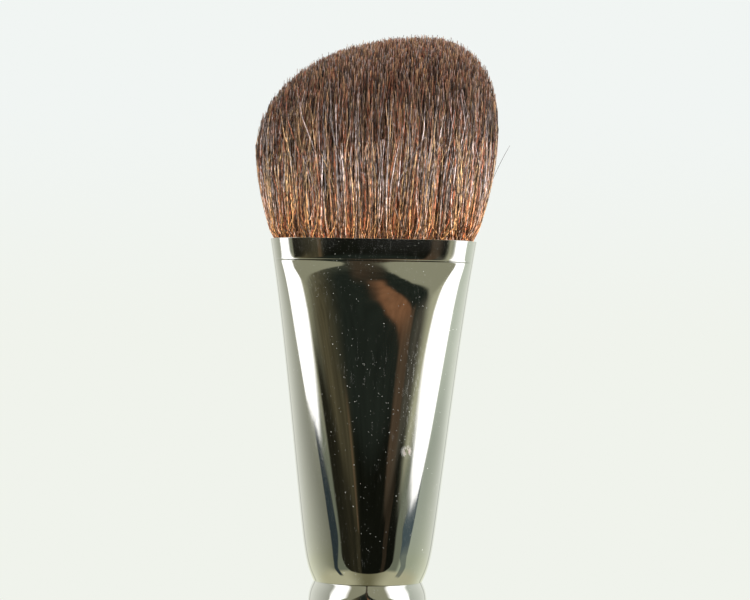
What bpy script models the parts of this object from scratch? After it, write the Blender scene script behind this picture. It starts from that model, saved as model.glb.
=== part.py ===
"""An angled blush brush: a tuft of natural hair in a flattened metal ferrule, crimped on a turned handle.

The frame is in metres, with +Z along the handle towards the hair, -Y towards the flat front and +X towards
the hair's long side. The origin is the centre of the handle's butt.
"""

import math
import random

import bmesh
import bpy
from mathutils import Vector
from mathutils.geometry import delaunay_2d_cdt

MM = 0.001

# Fits
FIT_GAP = 0.3 * MM  # left between pieces that touch on the real brush
TENON_CLEARANCE = 0.6 * MM  # radial, in the ferrule's barrel, filled with glue on the real brush

# Handle
HANDLE_LENGTH = 107.0 * MM  # butt to the ferrule's foot
BUTT_FLAT_DIAMETER = 3.6 * MM
TAIL_DIAMETER = 8.0 * MM
TAIL_ROUND_HEIGHT = 5.0 * MM  # rounded end, from the butt up
BELLY_SWELL = 0.45 * MM  # the belly's radius over the neck's
BELLY_DROP = 15.0 * MM  # belly below the neck
NECK_STEP = 0.15 * MM  # the neck's radius under the barrel's
TENON_REACH = 9.0 * MM  # tenon's end above the upper crimp
TENON_CHAMFER = 0.6 * MM

# Ferrule, with heights from its foot
WALL = 0.45 * MM
BARREL_DIAMETER = 15.0 * MM  # the round skirt, and the bead between the crimps
SKIRT_HEIGHT = 3.4 * MM  # foot to the lower crimp
CRIMP_SPACING = 5.5 * MM
CRIMP_DEPTH = 0.8 * MM
SHOULDER_SWELL = 0.55 * MM  # the shoulder's radius over the barrel's
SHOULDER_HEIGHT = 4.0 * MM  # upper crimp to the full shoulder
TAPER_HEIGHT = 35.65 * MM  # shoulder to the crease under the lip
LIP_HEIGHT = 2.75 * MM
MOUTH_WIDTH = 25.8 * MM
MOUTH_DEPTH = 12.0 * MM
CREASE_REACH = 2.2 * MM  # how far down the bulge under the lip builds up
CREASE_BULGE_SHARE = 0.35  # of the change from flat lip to round shoulder, made next to the crease
SIDE_SAG_SHARE = 0.28  # how hollow the narrowing sides are
MOUTH_SQUARENESS = 3.3  # exponent of the mouth's rounded outline
ROUND_SQUARENESS = 2.0  # the exponent that makes a true ellipse
TAPER_LEVEL_SHARES = (0.12, 0.26, 0.42, 0.58, 0.72, 0.84, 0.91, 0.955, 0.985, 1.0)

# Bonded hair roots and the thread round them
ROOT_DEPTH = 6.0 * MM  # mouth down to the resin in which the hair is set
SLICE_THICKNESS = 2.0 * MM  # slice of resin that holds the strands
TENON_TO_PLUG = 4.0 * MM  # air between the tenon and the plug of resin
THREAD_DIAMETER = 0.8 * MM
THREAD_PITCH = 1.3 * MM
THREAD_TURNS = 3
THREAD_RISE = 3.0 * MM  # first turn above the plug's lower end

# Hair tuft, with heights from the ferrule's mouth
TUFT_HEIGHT = 25.6 * MM
LOW_SIDE_DROP = 14.0 * MM  # peak down to the edge of the short side
LONG_SIDE_DROP = 11.0 * MM
PEAK_SHIFT = 5.3 * MM  # from the axis towards the long side
TUFT_LEAN = 0.8 * MM  # of the tuft's middle at its tip, towards the long side
SIDE_FLARE = 3.3 * MM  # how far the hair spreads beyond the mouth, each way along X
DEPTH_FLARE = 3.2 * MM  # and each way along Y
FLARE_HEIGHT = 12.0 * MM
TUFT_SQUARENESS = 2.3  # exponent of the spread tuft's outline from above
DOME_SQUARENESS = 2.2  # and of the dome that its tips make
STRAND_PITCH = 0.83 * MM
STRAND_THICKNESS = 0.54 * MM
STRAND_MARGIN = 0.1 * MM  # root to the edge of its slice of resin
STRAND_SCATTER_SHARE = 0.1  # of the pitch
STRAND_LEVEL_SHARES = (0.38, 0.8)  # of a strand's height over the mouth
STRAND_BELLY_SHARES = (1.3, 1.1)  # of a strand's thickness, at those levels
STRAND_SIDES = 3
SCATTER_SEED = 7

# Levels over the ferrule's foot
LOWER_CRIMP_Z = SKIRT_HEIGHT
UPPER_CRIMP_Z = LOWER_CRIMP_Z + CRIMP_SPACING
SHOULDER_Z = UPPER_CRIMP_Z + SHOULDER_HEIGHT
CREASE_Z = SHOULDER_Z + TAPER_HEIGHT
MOUTH_Z = CREASE_Z + LIP_HEIGHT
TENON_END_Z = UPPER_CRIMP_Z + TENON_REACH
ROOT_Z = MOUTH_Z - ROOT_DEPTH
SLICE_FOOT_Z = ROOT_Z - SLICE_THICKNESS
PLUG_FOOT_Z = TENON_END_Z + TENON_TO_PLUG
PLUG_TOP_Z = SLICE_FOOT_Z - FIT_GAP
THREAD_START_Z = PLUG_FOOT_Z + THREAD_RISE
THREAD_END_Z = THREAD_START_Z + THREAD_TURNS * THREAD_PITCH

# Radii
BARREL_RADIUS = BARREL_DIAMETER / 2
CRIMP_RADIUS = BARREL_RADIUS - CRIMP_DEPTH
SHOULDER_RADIUS = BARREL_RADIUS + SHOULDER_SWELL
NECK_RADIUS = BARREL_RADIUS - NECK_STEP
BELLY_RADIUS = NECK_RADIUS + BELLY_SWELL
TENON_RADIUS = BARREL_RADIUS - WALL - TENON_CLEARANCE

# Fineness
ROUND_SEGMENTS = 40
ARC_STEPS = 4
TAIL_STEPS = 5
BODY_STEPS = 14
THREAD_POINTS_PER_TURN = 20
LEAST_LEVEL_STEP = 0.3 * MM
SEAM_MERGE = 0.01 * MM
CORNER_MERGE = 0.001 * MM
SHARP_EDGE_DEGREES = 35


def clear_scene():
    for thing in list(bpy.data.objects):
        bpy.data.objects.remove(thing)


def finish(name, colour, roughness, metallic=0.0):
    """A plain material of one colour."""
    material = bpy.data.materials.new(name)
    material.use_nodes = True
    shader = material.node_tree.nodes["Principled BSDF"]
    shader.inputs["Base Color"].default_value = (*colour, 1.0)
    shader.inputs["Roughness"].default_value = roughness
    shader.inputs["Metallic"].default_value = metallic
    return material


def place(name, data, material, parent=None):
    """An object of the scene, carried by its parent."""
    thing = bpy.data.objects.new(name, data)
    data.materials.append(material)
    thing.parent = parent
    bpy.context.scene.collection.objects.link(thing)
    return thing


def mesh_from(shape, name):
    """The finished mesh of a bmesh, smooth but for its true edges."""
    bmesh.ops.recalc_face_normals(shape, faces=shape.faces)
    mesh = bpy.data.meshes.new(name)
    shape.to_mesh(mesh)
    shape.free()
    mesh.shade_smooth()
    mesh.set_sharp_from_angle(angle=math.radians(SHARP_EDGE_DEGREES))
    return mesh


def even_steps(low, high, count):
    """count values from just over low up to high."""
    return [low + (high - low) * step / count for step in range(1, count + 1)]


# Sections: half width along X, half depth along Y, and the exponent that squares the corners


def inset(section, amount):
    half_width, half_depth, squareness = section
    return half_width - amount, half_depth - amount, squareness


def around(section, height):
    """The section's outline at a height, counter-clockwise from +X."""
    half_width, half_depth, squareness = section
    power = 2 / squareness
    points = []
    for step in range(ROUND_SEGMENTS):
        turn = 2 * math.pi * step / ROUND_SEGMENTS
        along, across = math.cos(turn), math.sin(turn)
        x = half_width * math.copysign(abs(along) ** power, along)
        y = half_depth * math.copysign(abs(across) ** power, across)
        points.append(Vector((x, y, height)))
    return points


def section_point(section, reach_share, turn):
    """The point of a section at a share of the way from its middle to its edge, in a direction."""
    half_width, half_depth, squareness = section
    along, across = math.cos(turn), math.sin(turn)
    edge = (abs(along) ** squareness + abs(across) ** squareness) ** (-1 / squareness)
    return reach_share * edge * half_width * along, reach_share * edge * half_depth * across


def round_section(radius):
    return radius, radius, ROUND_SQUARENESS


def barrel_outline():
    """(height, radius) up the round skirt, its two crimps and the shoulder."""
    outline = [(0, BARREL_RADIUS)]
    for turn in even_steps(0, math.pi / 2, ARC_STEPS):
        height = SKIRT_HEIGHT * math.sin(turn)
        outline.append((height, CRIMP_RADIUS + CRIMP_DEPTH * math.cos(turn)))
    bead_z = (LOWER_CRIMP_Z + UPPER_CRIMP_Z) / 2
    for turn in even_steps(-math.pi / 2, math.pi / 2, 2 * ARC_STEPS):
        height = bead_z + CRIMP_SPACING / 2 * math.sin(turn)
        outline.append((height, CRIMP_RADIUS + CRIMP_DEPTH * math.cos(turn)))
    for share in even_steps(0, 1, ARC_STEPS):
        height = UPPER_CRIMP_Z + SHOULDER_HEIGHT * share
        swell = (SHOULDER_RADIUS - CRIMP_RADIUS) * (1 - (1 - share) ** 2)
        outline.append((height, CRIMP_RADIUS + swell))
    return outline


def flare_section(height):
    """The ferrule's outside from its round shoulder to its flattened mouth."""
    rise_share = (height - SHOULDER_Z) / (MOUTH_Z - SHOULDER_Z)
    spread_share = rise_share - SIDE_SAG_SHARE * rise_share**2 * (1 - rise_share)
    half_width = SHOULDER_RADIUS + (MOUTH_WIDTH / 2 - SHOULDER_RADIUS) * spread_share
    drop = max(0, CREASE_Z - height)
    bulge_share = CREASE_BULGE_SHARE * (1 - math.exp(-drop / CREASE_REACH))
    round_share = bulge_share + (1 - CREASE_BULGE_SHARE) * drop / TAPER_HEIGHT
    half_depth = MOUTH_DEPTH / 2 + (SHOULDER_RADIUS - MOUTH_DEPTH / 2) * round_share
    squareness = MOUTH_SQUARENESS + (ROUND_SQUARENESS - MOUTH_SQUARENESS) * round_share
    return half_width, half_depth, squareness


def bore_section(height):
    """The ferrule's inside above its shoulder."""
    return inset(flare_section(height), WALL)


def flare_levels(low, high):
    """Heights from low to high, with the ferrule's own levels between them."""
    levels = [SHOULDER_Z + TAPER_HEIGHT * share for share in TAPER_LEVEL_SHARES]
    between = [level for level in levels if low + LEAST_LEVEL_STEP < level < high - LEAST_LEVEL_STEP]
    return [low, *between, high]


# Solids


def loft(name, rings, hollow=False):
    """A closed solid through rings of points: capped, or hollow with its last ring joined to its first."""
    shape = bmesh.new()
    loops = [[shape.verts.new(point) for point in ring] for ring in rings]
    pairs = list(zip(loops, loops[1:]))
    if hollow:
        pairs.append((loops[-1], loops[0]))
    else:
        shape.faces.new(loops[-1])
        shape.faces.new(reversed(loops[0]))
    for below, above in pairs:
        for side in range(len(below)):
            after = (side + 1) % len(below)
            shape.faces.new((below[side], below[after], above[after], above[side]))
    return mesh_from(shape, name)


def turned(name, outline):
    """A mesh line of (height, radius) points, top to bottom, to be turned by a Screw."""
    mesh = bpy.data.meshes.new(name)
    points = [(radius, 0, height) for height, radius in outline]
    mesh.from_pydata(points, [(step, step + 1) for step in range(len(points) - 1)], [])
    return mesh


def add_screw(thing):
    screw = thing.modifiers.new("turning", "SCREW")
    screw.axis = "Z"
    screw.steps = screw.render_steps = ROUND_SEGMENTS
    screw.use_merge_vertices = True
    screw.merge_threshold = SEAM_MERGE
    screw.use_smooth_shade = True


def handle_outline():
    """(height, radius) up the handle from its butt to the top of its tenon, over the handle's butt."""
    outline = [(0, 0), (0, BUTT_FLAT_DIAMETER / 2)]
    tail_radius = TAIL_DIAMETER / 2
    round_depth = tail_radius - BUTT_FLAT_DIAMETER / 2
    for turn in even_steps(0, math.pi / 2, TAIL_STEPS):
        height = TAIL_ROUND_HEIGHT * (1 - math.cos(turn))
        outline.append((height, BUTT_FLAT_DIAMETER / 2 + round_depth * math.sin(turn)))
    belly_z = HANDLE_LENGTH - BELLY_DROP
    for share in even_steps(0, 1, BODY_STEPS):
        height = TAIL_ROUND_HEIGHT + (belly_z - TAIL_ROUND_HEIGHT) * share
        swell = (BELLY_RADIUS - tail_radius) * share**2 * (3 - 2 * share)
        outline.append((height, tail_radius + swell))
    for share in even_steps(0, 1, ARC_STEPS):
        outline.append((belly_z + BELLY_DROP * share, BELLY_RADIUS - BELLY_SWELL * share**2))
    foot_z = HANDLE_LENGTH + FIT_GAP
    outline.append((HANDLE_LENGTH, TENON_RADIUS))
    for height, radius in barrel_outline():
        snug = radius - WALL - FIT_GAP
        if height > 0:
            outline.append((foot_z + height, min(TENON_RADIUS, snug)))
    end_z = foot_z + TENON_END_Z
    outline.append((end_z - TENON_CHAMFER, TENON_RADIUS))
    outline.append((end_z, TENON_RADIUS - TENON_CHAMFER))
    outline.append((end_z, 0))
    return outline


def make_handle():
    lacquer = finish("black_lacquer", (0.012, 0.011, 0.012), 0.12)
    handle = place("handle", turned("handle", reversed(handle_outline())), lacquer)
    add_screw(handle)


def make_ferrule(head):
    nickel = finish("nickel_plate", (0.78, 0.77, 0.73), 0.06, metallic=1.0)
    outside = [(height, round_section(radius)) for height, radius in barrel_outline()]
    flare = [*flare_levels(SHOULDER_Z, CREASE_Z), MOUTH_Z]
    outside += [(height, flare_section(height)) for height in flare[1:]]
    outer_rings = [around(section, height) for height, section in outside]
    inner_rings = [around(inset(section, WALL), height) for height, section in outside]
    rings = outer_rings + inner_rings[::-1]
    return place("ferrule", loft("ferrule", rings, hollow=True), nickel, head)


def make_tenon_glue(head):
    """The sleeve of glue between the tenon and the ferrule, over the upper crimp."""
    glue = finish("wood_glue", (0.72, 0.60, 0.36), 0.45)
    levels = flare_levels(SHOULDER_Z, TENON_END_Z - TENON_CHAMFER)
    outer_rings = [around(inset(bore_section(level), FIT_GAP), level) for level in levels]
    tenon_fit = round_section(TENON_RADIUS + FIT_GAP)
    inner_rings = [around(tenon_fit, level) for level in levels]
    rings = outer_rings + inner_rings[::-1]
    return place("tenon_glue", loft("tenon_glue", rings, hollow=True), glue, head)


def make_root_plug(head):
    """The hair roots, bonded with resin to the ferrule's shape, with a waist for the thread."""
    resin = finish("amber_resin", (0.30, 0.15, 0.05), 0.30)
    waist = THREAD_DIAMETER + FIT_GAP
    waist_foot = THREAD_START_Z - THREAD_DIAMETER
    waist_top = THREAD_END_Z + THREAD_DIAMETER
    steps = [(level, 0) for level in flare_levels(PLUG_FOOT_Z, waist_foot)]
    steps += [(level, waist) for level in flare_levels(waist_foot, waist_top)]
    steps += [(level, 0) for level in flare_levels(waist_top, PLUG_TOP_Z)]
    rings = [around(inset(bore_section(level), FIT_GAP + cut), level) for level, cut in steps]
    return place("root_plug", loft("root_plug", rings), resin, head)


def thread_point(step):
    """A point of the thread's middle line, in the plug's waist."""
    height = THREAD_START_Z + THREAD_PITCH * step / THREAD_POINTS_PER_TURN
    section = inset(bore_section(height), FIT_GAP + THREAD_DIAMETER / 2)
    x, y = section_point(section, 1, 2 * math.pi * step / THREAD_POINTS_PER_TURN)
    return Vector((x, y, height))


def least_gap(route):
    """The least distance between two turns of the thread, surface to surface."""
    apart = THREAD_POINTS_PER_TURN // 2
    reaches = []
    for step, point in enumerate(route):
        reaches += [(point - other).length for other in route[step + apart :]]
    return min(reaches) - THREAD_DIAMETER


def make_binding_thread(head):
    """One thread, wound round the bonded roots from the lowest turn to the highest."""
    cotton = finish("waxed_cotton", (0.62, 0.56, 0.44), 0.85)
    curve = bpy.data.curves.new("binding_thread", "CURVE")
    curve.dimensions = "3D"
    curve.bevel_depth = THREAD_DIAMETER / 2
    curve.bevel_resolution = 1
    curve.use_fill_caps = True
    count = THREAD_TURNS * THREAD_POINTS_PER_TURN + 1
    line = curve.splines.new("POLY")
    line.points.add(count - 1)
    route = [thread_point(step) for step in range(count)]
    for place_on_line, point in zip(line.points, route):
        place_on_line.co = (*point, 1)
    print(f"thread's least gap to itself: {least_gap(route) / MM:.2f} mm")
    return place("binding_thread", curve, cotton, head)


# Hair


def tuft_section(height):
    """The strands' middle lines at a height over the ferrule's foot, clear of its bore and of its mouth."""
    half_width, _, squareness = bore_section(min(height, MOUTH_Z))
    half_depth = bore_section(MOUTH_Z)[1]
    reach = (half_width, half_depth, squareness)
    half_width, half_depth, squareness = inset(reach, FIT_GAP + STRAND_MARGIN + STRAND_THICKNESS / 2)
    over = min(max(0, height - MOUTH_Z), FLARE_HEIGHT)
    flare_share = math.sin(math.pi / 2 * over / FLARE_HEIGHT)
    squareness += (TUFT_SQUARENESS - squareness) * flare_share
    return half_width + SIDE_FLARE * flare_share, half_depth + DEPTH_FLARE * flare_share, squareness


def strand_centre(reach_share, turn, height):
    x, y = section_point(tuft_section(height), reach_share, turn)
    over_share = max(0, height - MOUTH_Z) / TUFT_HEIGHT
    return Vector((x + TUFT_LEAN * over_share**2, y, height))


def tip_height(reach_share, turn):
    """Where a strand is cut: a dome about an off-centre peak, lower at the short side."""
    strand = Vector((math.cos(turn), math.sin(turn))) * reach_share
    peak = Vector((PEAK_SHIFT / (MOUTH_WIDTH / 2 + SIDE_FLARE), 0))
    way = strand - peak
    if way.length == 0:
        return MOUTH_Z + TUFT_HEIGHT
    way.normalize()
    along = peak.dot(way)
    to_edge = math.sqrt(along**2 + 1 - peak.length_squared) - along
    edge = peak + way * to_edge
    drop = LOW_SIDE_DROP + (LONG_SIDE_DROP - LOW_SIDE_DROP) * (1 + edge.x) / 2
    out_share = min(1, (strand - peak).length / to_edge)
    dome_share = (1 - out_share**DOME_SQUARENESS) ** (1 / DOME_SQUARENESS)
    return MOUTH_Z + TUFT_HEIGHT - drop * (1 - dome_share)


def strand_places():
    """(reach share, direction) of each strand, from a scattered honeycomb over the root section."""
    chance = random.Random(SCATTER_SEED)
    half_width, half_depth, squareness = tuft_section(ROOT_Z)
    scatter = STRAND_SCATTER_SHARE * STRAND_PITCH
    row_pitch = STRAND_PITCH * math.sqrt(3) / 2
    rows = math.floor(half_depth / row_pitch)
    columns = math.ceil(half_width / STRAND_PITCH)
    places = []
    for row in range(-rows, rows + 1):
        for column in range(-columns, columns + 1):
            x = (column + (row % 2) / 2) * STRAND_PITCH + chance.uniform(-scatter, scatter)
            y = row * row_pitch + chance.uniform(-scatter, scatter)
            across, down = x / half_width, y / half_depth
            reach_share = (abs(across) ** squareness + abs(down) ** squareness) ** (1 / squareness)
            if reach_share <= 1:
                places.append((reach_share, math.atan2(down, across)))
    return places


def strand_ring(centre, radius, twist):
    """The corners of a strand's section, counter-clockwise."""
    turns = [twist + 2 * math.pi * side / STRAND_SIDES for side in range(STRAND_SIDES)]
    return [centre + radius * Vector((math.cos(turn), math.sin(turn), 0)) for turn in turns]


def strand_rings(reach_share, turn, twist):
    """(rings from root to last full section, tip) of one strand."""
    tip_z = tip_height(reach_share, turn)
    levels = [(ROOT_Z, 1), (MOUTH_Z, 1)]
    for level_share, belly_share in zip(STRAND_LEVEL_SHARES, STRAND_BELLY_SHARES):
        levels.append((MOUTH_Z + (tip_z - MOUTH_Z) * level_share, belly_share))
    rings = []
    for height, belly_share in levels:
        centre = strand_centre(reach_share, turn, height)
        rings.append(strand_ring(centre, STRAND_THICKNESS / 2 * belly_share, twist))
    return rings, strand_centre(reach_share, turn, tip_z)


def add_strand(shape, root, rings, tip):
    """Walls of one strand, up from the root corners that the slice already has."""
    below = root
    for ring in rings[1:]:
        above = [shape.verts.new(point) for point in ring]
        for side in range(STRAND_SIDES):
            after = (side + 1) % STRAND_SIDES
            shape.faces.new((below[side], below[after], above[after], above[side]))
        below = above
    point = shape.verts.new(tip)
    for side in range(STRAND_SIDES):
        shape.faces.new((below[side], below[(side + 1) % STRAND_SIDES], point))


def add_slice(shape, roots):
    """The slice of resin, its top pierced where each strand stands. Gives the corners of each root."""
    outline = around(inset(bore_section(ROOT_Z), FIT_GAP), ROOT_Z)
    points = outline + [corner for root in roots for corner in root]
    starts = range(len(outline), len(points), STRAND_SIDES)
    holes = [list(range(start, start + STRAND_SIDES)) for start in starts]
    loops = [list(range(len(outline))), *holes]
    flat = [point.to_2d() for point in points]
    found = delaunay_2d_cdt(flat, [], loops, 1, CORNER_MERGE)
    corners = [shape.verts.new(point) for point in points]
    for triangle, sources in zip(found[2], found[5]):
        if sources == [0]:
            shape.faces.new([corners[found[3][corner][0]] for corner in triangle])
    foot_section = inset(bore_section(SLICE_FOOT_Z), FIT_GAP)
    foot = [shape.verts.new(point) for point in around(foot_section, SLICE_FOOT_Z)]
    for side in range(len(foot)):
        after = (side + 1) % len(foot)
        shape.faces.new((foot[side], foot[after], corners[after], corners[side]))
    shape.faces.new(reversed(foot))
    return [[corners[corner] for corner in hole] for hole in holes]


def make_hair_tuft(head):
    """Strands of hair, fused at their roots to a slice of resin."""
    hair = finish("brown_hair", (0.16, 0.085, 0.055), 0.55)
    chance = random.Random(SCATTER_SEED + 1)
    strands = [strand_rings(*spot, chance.uniform(0, 2 * math.pi)) for spot in strand_places()]
    shape = bmesh.new()
    roots = add_slice(shape, [rings[0] for rings, _ in strands])
    for root, (rings, tip) in zip(roots, strands):
        add_strand(shape, root, rings, tip)
    return place("hair_tuft", mesh_from(shape, "hair_tuft"), hair, head)


def main():
    clear_scene()
    make_handle()
    head = bpy.data.objects.new("head", None)
    head.location.z = HANDLE_LENGTH + FIT_GAP
    bpy.context.scene.collection.objects.link(head)
    make_ferrule(head)
    make_tenon_glue(head)
    make_root_plug(head)
    make_binding_thread(head)
    make_hair_tuft(head)


main()
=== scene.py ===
"""Dresses the frame of an angled blush brush: its hair, ferrule, handle and inside, in a small light tent."""

import math

import bpy
import numpy as np
from bpy.props import FloatProperty, FloatVectorProperty, IntProperty, PointerProperty
from bpy.types import Operator, Panel, PropertyGroup
from mathutils import Matrix, Vector


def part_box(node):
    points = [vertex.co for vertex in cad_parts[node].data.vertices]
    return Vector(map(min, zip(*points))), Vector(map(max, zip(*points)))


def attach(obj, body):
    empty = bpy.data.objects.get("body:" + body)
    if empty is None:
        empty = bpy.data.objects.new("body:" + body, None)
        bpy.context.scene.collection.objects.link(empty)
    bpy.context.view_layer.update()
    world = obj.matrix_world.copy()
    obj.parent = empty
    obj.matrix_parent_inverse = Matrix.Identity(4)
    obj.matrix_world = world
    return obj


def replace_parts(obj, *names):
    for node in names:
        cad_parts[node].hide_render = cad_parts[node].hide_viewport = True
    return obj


bl_info = {
    "name": "Blush Brush Dresser",
    "version": (1, 0, 0),
    "blender": (4, 5, 0),
    "location": "View3D > Sidebar > Brush",
    "description": "Dresses the frame of an angled blush brush with its finished pieces",
    "category": "Object",
}

MM = 0.001

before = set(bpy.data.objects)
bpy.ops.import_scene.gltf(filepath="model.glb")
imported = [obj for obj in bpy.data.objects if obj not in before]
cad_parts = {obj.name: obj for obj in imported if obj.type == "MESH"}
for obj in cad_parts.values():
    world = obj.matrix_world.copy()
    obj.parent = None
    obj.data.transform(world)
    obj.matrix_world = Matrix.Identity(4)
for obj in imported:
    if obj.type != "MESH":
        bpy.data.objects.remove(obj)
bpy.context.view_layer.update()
ferrule_low, ferrule_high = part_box("ferrule")
_, handle_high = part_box("handle")
_, tuft_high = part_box("hair_tuft")
MOUTH_Z = ferrule_high.z
FOOT_Z = ferrule_low.z
FERRULE_HEIGHT = MOUTH_Z - FOOT_Z
TUFT_HEIGHT = tuft_high.z - MOUTH_Z

# Fineness
TUBE_SIDES = 192
LATHE_SIDES = 96
SHARP_ANGLE = 40  # degrees between faces from which an edge of a turned piece is sharp
TAIL_RINGS, BODY_RINGS, NECK_RINGS, TENON_RINGS = 14, 42, 12, 44
RIM_STEPS = 5
BED_RINGS = 7

# Shape of the crimps
CRIMP_POWER = 1.2  # under 2, so the bottom of a crimp is nearly a line
SHOULDER_POWER = 1.15

# Shape of the lip
BEAD_PLACE = 1.5  # over the crease, in half widths of the bead
SQUARING_EASE = 0.03  # how softly the outline starts to turn from round to square

# Rings up the ferrule: their number in each stretch, and how far the stretches reach past shoulder and crease
STRETCH_RINGS = (100, 30, 30, 36, 8)
PAST_SHOULDER = 1 * MM
BELOW_CREASE = 6 * MM
CLOSE_BELOW_CREASE = 0.5 * MM
CLOSE_ABOVE_CREASE = 0.4 * MM
EDGE_HOLD = 0.02 * MM  # from a rounded edge to the ring that keeps the wall straight beside it

# Edges of the handle
BUTT_BEVEL = 0.03 * MM
HANDLE_BEVEL = 0.2 * MM

# Marks on the ferrule: cells to a metre that may hold a speck, the same for finer dust, a band rubbed by
# handling (from, to, softness) and a bit of lint
SPECK_CELLS = 2100
DUST_CELLS = 4700
RUBBED_ACROSS = (4.4 * MM, 6.3 * MM, 0.6 * MM)
RUBBED_UP = (MOUTH_Z - 25 * MM, MOUTH_Z - 13 * MM, 2 * MM)
LINT_SPOT = (4.35 * MM, -6.4 * MM, MOUTH_Z - 26 * MM)
LINT_REACH = (1.1 * MM, 0.4 * MM)  # where it ends and where it is densest

# Height of the bumps of each finish
NICKEL_BUMPS = 0.002 * MM
RESIN_BUMPS = 0.05 * MM
COTTON_BUMPS = 0.06 * MM
GLUE_BUMPS = 0.04 * MM

# Hairs
HAIR_SIDES = 3
LEVELS = (0.0, 0.12, 0.32, 0.56, 0.8, 1.0)  # shares of a hair's height over the mouth
ROOT_SCATTER = 0.38  # of the pitch
SWELL_REACH = 0.6 * MM
WAVES = 14
DRIFT_WAVE = 2.2 * MM
CLUMP_WAVE = 3 * MM
CLUMP_WARP = 0.6  # of a clump's width
UNRULY_SHARE = 0.12
UNRULY_GAIN = 2.4
SWAY_POWER = 1.3
BOW_SHARE = 0.85  # of how far a hair strays
BOW_SKEW = 0.7  # under 1, so hairs bow most in their lower half
MOST_SHORT = 3.5 * MM
CLUMP_SHARE = 0.4  # how much of its shortfall a hair has with its whole clump
PROUD_SHARE = 0.35
MOST_PROUD = 0.4 * MM
TAPER_FROM = 0.8  # share of a hair's height at which it starts to thin
TAPER_POWER = 1.5
TIP_SHARE = 0.6  # thickness of a tip
THICKNESS_SHARES = (0.75, 1.3)
TONES = (
    ("gold_hairs", "gold", 0.20),
    ("russet_hairs", "russet", 0.21),
    ("chestnut_hairs", "chestnut", 0.22),
    ("umber_hairs", "umber", 0.21),
    ("ash_hairs", "ash", 0.16),
)
STREAK_SPREAD = (1000, 20, 1)  # from the strand map to the noise of dark streaks along a hair
# Painted highlights: the noise of pale glints painted along a hair
PAINTED_GLINT_SPREAD = (1700, 25, 1)
LOCK_SPREAD = (1.0, 1.0, 0.22)  # locks of hair that are a little paler or darker, drawn out along Z
# The foot's gain is partly the hairs' own golden tone and partly painted light, brightening the foot that
# faces outward
FOOT_TONE_AND_LIGHT = (1.40, 1.13, 0.86)  # tone of a hair at its foot against its middle, in red, green and blue
TOP_GAIN = (0.30, 0.208, 0.164)  # and of the tuft's top
LOW_VARIETY = 0.7  # how far single hairs differ from their shade
TOP_VARIETY = 0.9
CELL_SLIMNESS = 6  # height of a hair's cell on the map to bake on, against its width
CELL_MARGIN = 0.1
CREEP_REACH = 1.5 * MM

# Single stray hairs: side (-1 to 1), height where it leaves the tuft, height of its tip, reach, depth
STRAY_LEVELS = 9
STRAY_THICKNESS = 0.09 * MM
STRAY_WANDER = 0.4 * MM
STRAY_POWER = 1.4  # over 1, so strays bend most near their tips
STRAYS = (
    (0.99, 5.4 * MM, 12.3 * MM, 2.8 * MM, 0.0),
    (0.97, 6.5 * MM, 14.0 * MM, 0.9 * MM, -0.2),
    (0.96, 9.0 * MM, 16.0 * MM, 0.6 * MM, 0.15),
    (-0.98, 5.0 * MM, 11.0 * MM, 0.7 * MM, -0.1),
    (-0.97, 3.5 * MM, 9.0 * MM, 0.6 * MM, 0.2),
    (-0.95, 7.0 * MM, 12.5 * MM, 0.3 * MM, -0.25),
)

# The tent as the metal shows it, from the brush, in degrees round from the camera's side and degrees up.
# The points of an edge are (up, round), and those of a foot are (round, down). A span across or up fades in
# from its first number to its second, or lies between them with its third number as softness.
OPENING_LEFT = (
    (-65, 53), (-10, 48.5), (-4, 46), (-2, 46), (0.7, 42.5), (4, 39.5), (7.7, 35), (16.8, 22), (24, 13.5),
    (30.5, 6), (35, 4), (40, 3.4),
)
OPENING_RIGHT = (
    (-65, 51), (-9, 47), (-4.5, 44), (-3.4, 39.5), (-1.7, 34.5), (1.7, 32.5), (4.3, 30), (7, 27), (10, 21),
    (14, 12.5), (19.5, 6), (26, 1.8), (33.5, 0.5), (40, 0),
)
OPENING_FOOT = ((0, 43.5), (20, 43), (36, 41.5), (44, 35), (48, 24), (52, 10), (54, 0))
OPENING_TOP = 44  # where the opening ends, by pitch
OPENING_TOP_SOFT = 1.2
LEFT_LAMP = {
    "side": -1,
    "inner": (
        (-6.2, 62), (-5.4, 60), (-4.3, 55), (-2.6, 49.5), (-1.2, 47), (3.3, 47), (5, 54), (8.4, 53),
        (11, 48), (14, 43), (60, 42),
    ),
    "outer": ((-6.4, 76), (-5.8, 82), (-5.3, 88), (-3, 91), (5, 79), (60, 78)),
    "foot": ((48, 3.3), (54, 4.5), (60, 5.2), (66, 5.6), (72, 6.0), (78, 6.2), (84, 5.7), (92, 4.9)),
    "stand": ((-60, 56), (-40, 64), (-28, 67), (-12, 61), (-7, 58), (-6, 59), (-5, 61)),
    "stand_gain": 1.0,
    "stand_up": (-5, -5.6),
}
RIGHT_LAMP = {
    "side": 1,
    "inner": (
        (-8.2, 68), (-6.8, 62), (-5.1, 53), (-3.6, 48), (-2, 42.5), (-0.9, 40), (0.1, 41), (1.7, 44),
        (2.5, 46), (5, 57), (8, 58), (12, 50), (15, 45), (60, 43),
    ),
    "outer": ((-8.2, 72), (-7.2, 80), (-5.5, 84.5), (-4, 91), (10, 90), (60, 93)),
    "foot": ((50, 6), (58, 6.6), (62, 7), (72, 7.9), (84, 8.4)),
    "stand": ((-60, 72), (-38, 73), (-24, 73), (-14, 67), (-9, 68), (-7, 66)),
    "stand_gain": 1.4,
    "stand_up": (-6.4, -7),
}
LAMP_TOP = 56
LAMP_TIP_SOFT = 0.05
STAND_HALF = ((-60, 3.8), (-20, 4.4), (-10, 6), (-6, 8))  # half the width of a stand, (up, round)
STAND_SOFT = 1.2
STANDS_UP = (-46, -40)

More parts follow.
